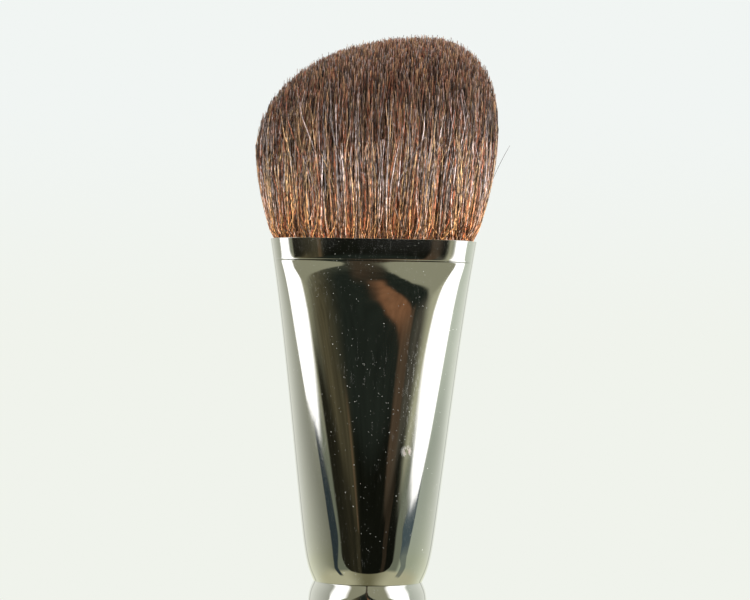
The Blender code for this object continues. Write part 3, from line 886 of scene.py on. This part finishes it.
def dome_drop(hair, metal, spot):
    """How far under its peak the dome of tips lies, over spots of the unit disc."""
    peak = hair.peak_shift / float(tuft_section(hair, metal, hair.flare_height)[0])
    way = spot - np.array([peak, 0])
    distance = np.maximum(np.hypot(way[:, 0], way[:, 1]), 1e-6)
    slant = peak * way[:, 0] / distance
    to_edge = np.sqrt(slant**2 + 1 - peak**2) - slant
    edge_x = peak + way[:, 0] / distance * to_edge
    drop = hair.low_side_drop + (hair.long_side_drop - hair.low_side_drop) * (1 + edge_x) / 2
    out = np.minimum(1, distance / to_edge)
    return drop * (1 - (1 - out**hair.dome_squareness) ** (1 / hair.dome_squareness))


def hair_roots(hair, metal, chance):
    """Places of the hairs in the mouth, on a scattered honeycomb, as spots of the unit disc."""
    half_width, half_depth, exponent = (float(value) for value in tuft_section(hair, metal, 0.0))
    row_pitch = hair.pitch * math.sqrt(3) / 2
    rows = np.arange(-math.ceil(half_depth / row_pitch), math.ceil(half_depth / row_pitch) + 1)
    columns = np.arange(-math.ceil(half_width / hair.pitch) - 1, math.ceil(half_width / hair.pitch) + 1)
    row, column = (grid.ravel() for grid in np.meshgrid(rows, columns, indexing="ij"))
    scatter = chance.uniform(-ROOT_SCATTER, ROOT_SCATTER, (len(row), 2))
    across = (column + (row % 2) / 2 + scatter[:, 0]) * hair.pitch / half_width
    down = (row * row_pitch + scatter[:, 1] * hair.pitch) / half_depth
    reach = (np.abs(across) ** exponent + np.abs(down) ** exponent) ** (1 / exponent)
    turn = np.arctan2(down, across)
    spots = np.stack([reach * np.cos(turn), reach * np.sin(turn)], axis=1)
    return spots[reach <= 1]


def ripple(chance, places, wavelength):
    """A smooth random field over places, about 1 high: a sum of waves in all directions."""
    turn = chance.uniform(0, 2 * math.pi, WAVES)
    number = 2 * math.pi / (wavelength * chance.uniform(0.6, 1.8, WAVES))
    phase = chance.uniform(0, 2 * math.pi, WAVES)
    ways = np.stack([np.cos(turn), np.sin(turn)]) * number
    return np.sin(places @ ways + phase).sum(axis=1) * math.sqrt(2 / WAVES)


def clump_pull(hair, chance, places, spots):
    """(way to the middle of each hair's clump, the clump's own random number)."""
    warp = np.stack([ripple(chance, places, CLUMP_WAVE) for _ in range(2)], axis=1)
    cell = np.floor(places / hair.clump_pitch + warp * CLUMP_WARP).astype(int)
    _, clump = np.unique(cell, axis=0, return_inverse=True)
    clump = clump.ravel()
    size = np.bincount(clump)
    middle = np.stack([np.bincount(clump, spots[:, axis]) / size for axis in (0, 1)], axis=1)
    own = chance.normal(0, 1, len(size))
    return middle[clump] - spots, own[clump]


def hair_paths(hair, metal, chance):
    """(points of each hair at each level, how far along each level is) from the roots to the tips."""
    spots = hair_roots(hair, metal, chance)
    many = len(spots)
    wide = np.array([float(value) for value in tuft_section(hair, metal, hair.flare_height)[:2]])
    places = spots * wide
    drift = np.stack([ripple(chance, places, DRIFT_WAVE) for _ in range(2)], axis=1) * hair.drift
    unruly = np.where(chance.random(many) < UNRULY_SHARE, UNRULY_GAIN, 1.0)[:, None]
    stray = chance.normal(0, hair.stray, (many, 2)) * unruly
    bow = chance.laplace(0, hair.stray * BOW_SHARE, (many, 2)) * unruly
    pull, own = clump_pull(hair, chance, places, spots)
    tip_spot = spots + (drift + stray) / wide + pull * hair.clumping
    tip_spot /= np.maximum(1, np.hypot(tip_spot[:, 0], tip_spot[:, 1]))[:, None]
    short = chance.exponential(hair.uneven, many) + np.abs(own) * hair.uneven * CLUMP_SHARE
    short = np.minimum(short, MOST_SHORT)
    short = short - np.where(chance.random(many) < PROUD_SHARE, chance.exponential(hair.proud, many), 0)
    tip = TUFT_HEIGHT + hair.crown - dome_drop(hair, metal, tip_spot) - np.maximum(short, -MOST_PROUD)
    along = np.array(LEVELS)
    over = along * tip[:, None]
    over = np.concatenate([np.full((many, 1), -hair.root_depth), over], axis=1)
    along = np.concatenate([[0.0], along])
    rise = np.maximum(over, 0)[..., None] / TUFT_HEIGHT
    arch = np.sin(math.pi * along**BOW_SKEW)[:, None]
    sway = (drift + stray)[:, None] * rise**SWAY_POWER + bow[:, None] * arch
    spot = spots[:, None] + sway / wide + pull[:, None] * hair.clumping * (along**2)[:, None]
    spot /= np.maximum(1, np.hypot(spot[..., 0], spot[..., 1]))[..., None]
    x, y = tuft_place(hair, metal, spot, over)
    return np.stack([x, y, MOUTH_Z + over], axis=-1), along


def strand_mesh(name, paths, along, thickness, chance):
    """Closed three-sided hairs that taper to their tips, with one map for the finish and one to bake on."""
    many, levels = paths.shape[:2]
    taper = 1 - (1 - TIP_SHARE) * np.clip((along - TAPER_FROM) / (1 - TAPER_FROM), 0, 1) ** TAPER_POWER
    radius = thickness / 2 * chance.uniform(*THICKNESS_SHARES, (many, 1)) * taper
    side = np.arange(HAIR_SIDES)
    twist = chance.uniform(0, 2 * math.pi, (many, 1, 1)) + 2 * math.pi * side / HAIR_SIDES
    rings = np.repeat(paths[:, :, None], HAIR_SIDES, axis=2)
    rings[..., 0] += radius[..., None] * np.cos(twist)
    rings[..., 1] += radius[..., None] * np.sin(twist)
    first = (np.arange(many) * levels * HAIR_SIDES)[:, None]
    walls = (first[..., None] + wall_faces(levels, HAIR_SIDES)).reshape(-1, 4)
    faces = [walls, first + side[::-1], first + (levels - 1) * HAIR_SIDES + side]
    mesh = build_mesh(name, rings.reshape(-1, 3), faces)
    corners = np.concatenate([group.ravel() for group in faces])
    hair, level, place = (number.copy() for number in np.unravel_index(corners, rings.shape[:3]))
    lot = chance.random(many)
    add_map(mesh, "Strand", np.stack([lot[hair], along[level]], axis=1))
    after = place[: walls.size].reshape(-1, 4)[:, 1:3]
    after[after == 0] = HAIR_SIDES
    add_map(mesh, "OFBake", bake_places(many, hair, place / HAIR_SIDES, level / (levels - 1)))
    return mesh


def bake_places(many, hair, across, up):
    """Places on the map to bake on, where each hair has a tall narrow cell of its own."""
    columns = math.ceil(math.sqrt(many * CELL_SLIMNESS))
    rows = math.ceil(many / columns)
    inside = np.stack([across, up], axis=1) * (1 - 2 * CELL_MARGIN) + CELL_MARGIN
    return (np.stack([hair % columns, hair // columns], axis=1) + inside) / (columns, rows)


def stray_paths(hair, metal, chance):
    """A few single hairs that have sprung out of the tuft."""
    paths = []
    for side, start, end, reach, depth in STRAYS:
        share = np.linspace(0, 1, STRAY_LEVELS)
        over = start + (end - start) * share
        x, y = tuft_place(hair, metal, np.array([[side, depth]]), start)
        out = math.copysign(1, side)
        x = x + out * reach * share**STRAY_POWER
        y = y + chance.normal(0, STRAY_WANDER) * share**2
        paths.append(np.stack([x, y, MOUTH_Z + over], axis=-1))
    return np.stack(paths), share


def bed_mesh(inside, hair, metal):
    """The bed of resin round the roots, crept up the wall of the ferrule."""
    top = -hair.root_depth
    steps = [(top - inside.bed_thickness, 0), (top + inside.bed_creep, 0)]
    for share in np.linspace(0, 1, BED_RINGS)[1:]:
        steps.append((top + inside.bed_creep * (1 - share) ** 2, CREEP_REACH * share))
    rings = []
    for over, cut in steps:
        section = inset(flare_section(metal, FERRULE_HEIGHT + over), metal.wall + hair.mouth_gap + cut)
        rings.append(ring(section, MOUTH_Z + over, LATHE_SIDES))
    return capped_mesh("root_bed", rings)


# Studio


def tent_walls(studio, turn, rise):
    """The cloth of the tent: pale behind the brush, dimmer beside the lamps and round the opening."""
    out = abs(turn)
    right = turn.spread(*RIGHT_ACROSS)
    lit = 1 + rise.spread(*LIT_FOOT_UP) * rise.spread(*LIT_HEAD_UP) * 0.55
    shade_side = right.blend(studio.tent_shade, studio.tent_cool).scaled(lit)
    near = 50 + right * 30 - rise.spread(-5, -1) * 25
    walls = out.spread(near, 190).blend(shade_side, studio.tent_pale)
    walls = walls.scaled(1 - out.within(*SEAM_ACROSS) * SEAM_SHADE)
    walls = walls.scaled(rise.spread(*CAST_UP).blend((1, 1, 1), FLOOR_CAST))
    front = rise.spread(*FRONT_UP).blend(studio.tent_strip, studio.tent_front)
    front = front.scaled(1 + rise.within(*FRONT_LIT_UP) * (0.25 + right * 0.3))
    walls = out.spread(*FRONT_ACROSS).blend(walls, front)
    ground = out.spread(*GROUND_ACROSS).blend(studio.tent_floor, studio.tent_ground)
    ground = ground.scaled(1 + out.spread(*GROUND_BACK_ACROSS) * 0.35)
    below = (0 - rise).spread(30 - out.spread(60, 90) * 10, 38)
    walls = below.blend(walls, ground)
    return rise.spread(*ROOF_UP).blend(walls, studio.tent_pale)


def room_beyond(studio, way, turn, rise):
    """The dark room seen through the opening, with a dim wall on each side and a warm patch."""
    upper = rise.spread(*UPPER_UP)
    end = turn.spread(*OLIVE_END_ACROSS) * rise.spread(*OLIVE_END_UP)
    olive = turn.spread(*OLIVE_ACROSS) * (0.25 + upper * 0.75) * (1 - end * 0.5)
    stripe = turn.within(*STRIPE_ACROSS) * rise.spread(*STRIPE_UP)
    line = turn.within(*LINE_ACROSS) * rise.within(*LINE_UP)
    inward = turn + rise.profile(OPENING_LEFT)
    glow = inward.spread(*GLOW_ACROSS) * rise.spread(*GLOW_UP)
    haze = turn.spread(*HAZE_ACROSS) * upper * rise.spread(*HAZE_UP)
    inward = turn - rise.profile(BROWN_INNER)
    brown = inward.within(*BROWN_ACROSS) * rise.spread(*BROWN_UP)
    neck = turn.within(*NECK_ACROSS) * rise.spread(*NECK_UP)
    left, right = rise.profile(PATCH_LEFT), rise.profile(PATCH_RIGHT)
    patch = turn.within(left, right, PATCH_SOFT) * rise.within(*PATCH_UP)
    shapes = (
        (olive, studio.olive),
        (stripe * (0.35 + rise.spread(-0.3, 1) * 0.4), studio.olive),
        (line * 0.8, mixed(studio.olive, studio.warm, 0.3)),
        (glow * (0.7 - rise.spread(*GLOW_FADE_UP) * 0.55), shade(studio.tent_front, 0.85)),
        (haze, studio.haze),
        (brown * (0.3 + rise.spread(-1.6, 1) * 0.7), studio.brown),
        (neck * 0.8, shade(studio.brown, 0.72)),
        (patch, studio.warm),
    )
    dark = rise.spread(*DIM_UP).blend(studio.opening, studio.opening_dim)
    for mask, tint in shapes:
        dark = mask.blend(dark, tint)
    return dark.scaled(0.5 + way.noise(30, detail=3))


def add_stands(studio, light, way, turn, rise):
    """The lamps' stands, in front of the tent, fading towards the floor."""
    masks = []
    for lamp in (LEFT_LAMP, RIGHT_LAMP):
        off = turn * lamp["side"] - rise.profile(lamp["stand"])
        half = rise.profile(STAND_HALF) * lamp["stand_gain"]
        masks.append(off.within(0 - half, half, STAND_SOFT) * rise.spread(*lamp["stand_up"]))
    left, right = masks
    right = right * (1 - rise.spread(-9, -14) * 0.35)
    glimmer = way.noise(220).spread(0.35, 0.65)
    tone = right.blend(shade(studio.stand, 0.4), studio.stand)
    stands = (left + right) * rise.spread(*STANDS_UP)
    return stands.blend(light, tone.scaled(0.4 + glimmer * 0.6))


def add_lamp(light, turn, rise, lamp, glare):
    """A lamp in front of the tent."""
    out = turn * lamp["side"]
    soft = 1.4 + rise.spread(-4.5, -3) * 0.8 + rise.spread(8, 20) * 4
    inner, outer = rise.profile(lamp["inner"]), rise.profile(lamp["outer"])
    foot = 0 - out.profile(lamp["foot"])
    mask = out.within(inner, outer, soft) * rise.within(foot, LAMP_TOP, LAMP_TIP_SOFT)
    return mask.blend(light, glare)


def room_light(recipe, studio):
    """What the room sends to the brush from each direction."""
    way = recipe.place("Generated")
    x, y, z = way.axes()
    turn = recipe.math("ARCTAN2", x, 0 - y) * math.degrees(1)
    rise = recipe.math("ARCSINE", z) * math.degrees(1)
    pitch = recipe.math("ARCTAN2", z, 0 - y) * math.degrees(1)
    soft = 0.7 + rise.spread(15, 5) * 1.2 + rise.within(-1.5, 4, 1.2) * 3.5
    left, right = rise.profile(OPENING_LEFT), rise.profile(OPENING_RIGHT)
    foot = 0 - abs(turn).profile(OPENING_FOOT)
    seen = turn.within(0 - left, right, soft) * pitch.within(foot, OPENING_TOP, OPENING_TOP_SOFT)
    light = seen.blend(tent_walls(studio, turn, rise), room_beyond(studio, way, turn, rise))
    light = add_stands(studio, light, way, turn, rise)
    mirrored = recipe.add("ShaderNodeLightPath", output="Is Glossy Ray")
    for lamp, radiance in ((LEFT_LAMP, studio.left_lamp), (RIGHT_LAMP, studio.right_lamp)):
        # Polished metal sees a lamp less bright than the rest does
        glare = mirrored.blend((radiance,) * 3, (studio.glare,) * 3)
        light = add_lamp(light, turn, rise, lamp, glare)
    return light


def light_room(studio):
    """The world: the backdrop for the camera, and the room for everything else."""
    world = bpy.data.worlds.new("light_tent")
    bpy.context.scene.world = world
    recipe = Recipe(world)
    _, _, z = recipe.place("Generated").axes()
    backdrop = z.spread(0.0, 0.12).blend(studio.backdrop_low, studio.backdrop_high)
    seen = recipe.add("ShaderNodeLightPath", output="Is Camera Ray")
    through = recipe.add("ShaderNodeLightPath", output="Is Transmission Ray")
    room = recipe.add("ShaderNodeBackground", None, {"Color": room_light(recipe, studio)})
    back = recipe.add("ShaderNodeBackground", None, {"Color": backdrop})
    light = recipe.add("ShaderNodeMixShader", None, {0: seen + through, 1: room, 2: back})
    recipe.add("ShaderNodeOutputWorld", None, {"Surface": light})


def floor_finish(studio):
    """A pale floor that turns into the backdrop away from the brush."""
    recipe = new_recipe("pale_floor")
    place = recipe.place()
    x, y, _ = place.axes()
    away = recipe.math("SQRT", x * x + y * y)
    seen = recipe.add("ShaderNodeLightPath", output="Is Camera Ray")
    fibres = place.noise(60, detail=3)
    tone = (fibres * 0.2).blend(studio.floor, shade(studio.floor, 0.95))
    near = recipe.add("ShaderNodeBsdfPrincipled", None, {"Base Color": tone, "Roughness": 0.9})
    far = recipe.add("ShaderNodeEmission", None, {"Color": (*studio.backdrop_low, 1)})
    fade = away.spread(studio.floor_fade / 4, studio.floor_fade) * seen
    floor = recipe.add("ShaderNodeMixShader", None, {0: fade, 1: near, 2: far})
    recipe.add("ShaderNodeOutputMaterial", None, {"Surface": floor})
    return recipe.owner


def lay_floor(studio):
    rings = [circle(radius, 0.0) for radius in (studio.floor_radius, studio.floor_fade)]
    inner = LATHE_SIDES + np.arange(LATHE_SIDES)
    mesh = build_mesh("floor", np.concatenate(rings), [wall_faces(2, LATHE_SIDES), inner[None]])
    mesh.materials.append(floor_finish(studio))
    floor = bpy.data.objects.new("floor", mesh)
    floor.visible_glossy = False
    bpy.context.scene.collection.objects.link(floor)


def set_camera(studio):
    """The photograph's view: level with the ferrule, a little to one side of upright."""
    data = bpy.data.cameras.new("camera")
    data.lens = studio.lens
    data.clip_start = 10 * MM
    data.clip_end = 2 * studio.floor_radius
    camera = bpy.data.objects.new("camera", data)
    place = Vector((studio.aim_shift, -studio.camera_distance, MOUTH_Z - studio.camera_drop))
    target = Vector((studio.aim_shift, 0, MOUTH_Z - studio.aim_drop))
    turn = (place - target).to_track_quat("Z", "Y").to_matrix().to_4x4()
    camera.matrix_world = Matrix.Translation(place) @ turn @ Matrix.Rotation(studio.roll, 4, "Z")
    bpy.context.scene.collection.objects.link(camera)
    bpy.context.scene.camera = camera
    bpy.context.scene.view_settings.view_transform = "Standard"


# Operators


class MakeStudio(Operator):
    """Lay the floor, light the tent and set the camera"""

    bl_idname = "brush.make_studio"
    bl_label = "Make Studio"

    def execute(self, context):
        studio = context.scene.brush_studio
        lay_floor(studio)
        light_room(studio)
        set_camera(studio)
        return {"FINISHED"}


class MakeHandle(Operator):
    """Turn the handle and lacquer it"""

    bl_idname = "brush.make_handle"
    bl_label = "Make Handle"

    def execute(self, context):
        handle, metal = context.scene.brush_handle, context.scene.brush_ferrule
        mesh = handle_mesh(handle, metal)
        add_piece("turned_handle", mesh, lacquer_finish(handle), "lacquered_wood", "handle")
        return {"FINISHED"}


class MakeFerrule(Operator):
    """Draw, flatten and crimp the bright metal tube"""

    bl_idname = "brush.make_ferrule"
    bl_label = "Make Ferrule"

    def execute(self, context):
        metal = context.scene.brush_ferrule
        add_piece("drawn_ferrule", ferrule_mesh(metal), nickel_finish(metal), "nickel", "ferrule")
        return {"FINISHED"}


class MakeTuft(Operator):
    """Set the hairs in five shades, and the few that stray"""

    bl_idname = "brush.make_tuft"
    bl_label = "Make Tuft"

    def execute(self, context):
        hair, metal = context.scene.brush_hair, context.scene.brush_ferrule
        chance = np.random.default_rng(hair.seed)
        paths, along = hair_paths(hair, metal, chance)
        tone = chance.choice(len(TONES), len(paths), p=[share for _, _, share in TONES])
        for number, (name, tint, _) in enumerate(TONES):
            mesh = strand_mesh(name, paths[tone == number], along, hair.thickness, chance)
            finish = hair_finish(hair, name, getattr(hair, tint))
            add_piece(name, mesh, finish, "hair", "hair_tuft")
        paths, along = stray_paths(hair, metal, chance)
        mesh = strand_mesh("stray_hairs", paths, along, STRAY_THICKNESS, chance)
        add_piece("stray_hairs", mesh, hair_finish(hair, "stray_hairs", hair.umber), "hair", "hair_tuft")
        return {"FINISHED"}


class DressInside(Operator):
    """Pour the bed of resin round the roots and finish the hidden plug, thread and glue"""

    bl_idname = "brush.dress_inside"
    bl_label = "Dress Inside"

    def execute(self, context):
        scene = context.scene
        inside = scene.brush_inside
        resin = resin_finish(inside)
        mesh = bed_mesh(inside, scene.brush_hair, scene.brush_ferrule)
        add_piece("root_bed", mesh, resin, "resin", "hair_tuft")
        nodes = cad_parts
        nodes["root_plug"].material_slots[0].material = resin
        nodes["binding_thread"].material_slots[0].material = cotton_finish(inside)
        nodes["tenon_glue"].material_slots[0].material = glue_finish(inside)
        return {"FINISHED"}


STEPS = (MakeStudio, MakeHandle, MakeFerrule, MakeTuft, DressInside)


class BrushPanel(Panel):
    """The brush's steps and settings"""

    bl_idname = "VIEW3D_PT_brush"
    bl_label = "Blush Brush"
    bl_space_type = "VIEW_3D"
    bl_region_type = "UI"
    bl_category = "Brush"

    def draw(self, context):
        for step in STEPS:
            self.layout.operator(step.bl_idname)
        for name, group in SETTINGS.items():
            box = self.layout.box()
            box.label(text=name.split("_")[1].title())
            for key in group.__annotations__:
                box.prop(getattr(context.scene, name), key)


def register():
    for kind in (*SETTINGS.values(), *STEPS, BrushPanel):
        bpy.utils.register_class(kind)
    for name, group in SETTINGS.items():
        setattr(bpy.types.Scene, name, PointerProperty(type=group))


def unregister():
    for name in SETTINGS:
        delattr(bpy.types.Scene, name)
    for kind in reversed((*SETTINGS.values(), *STEPS, BrushPanel)):
        bpy.utils.unregister_class(kind)


def main():
    register()
    bpy.ops.brush.make_studio()
    bpy.ops.brush.make_handle()
    bpy.ops.brush.make_ferrule()
    bpy.ops.brush.make_tuft()
    bpy.ops.brush.dress_inside()


if __name__ == "__main__":
    main()
